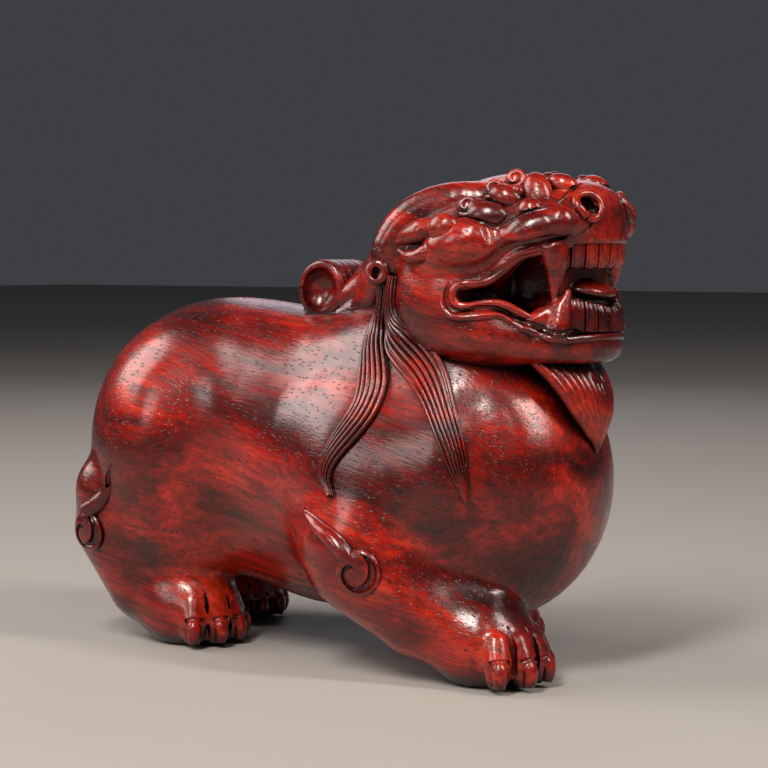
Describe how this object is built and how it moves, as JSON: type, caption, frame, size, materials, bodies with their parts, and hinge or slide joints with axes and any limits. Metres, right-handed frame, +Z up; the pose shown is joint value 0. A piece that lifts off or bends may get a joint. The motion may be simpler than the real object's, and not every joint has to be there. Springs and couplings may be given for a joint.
{
  "type": "carved pixiu figure",
  "caption": "Carved wooden pixiu, a lion-like guardian beast, walking on its paws with its head raised and its mouth open; a small desk ornament.",
  "frame": {"origin": "on the surface that the figure stands on, under the middle of its bounding box", "axes": "+X towards the head, +Y towards the figure's left side, +Z up"},
  "size_m": [0.1032, 0.0534, 0.0783],
  "materials": {
    "rosewood": "polished red rosewood with dark grain and small open pores"
  },
  "bodies": {
    "root": {"figure": "rosewood"}
  },
  "joints": []
}
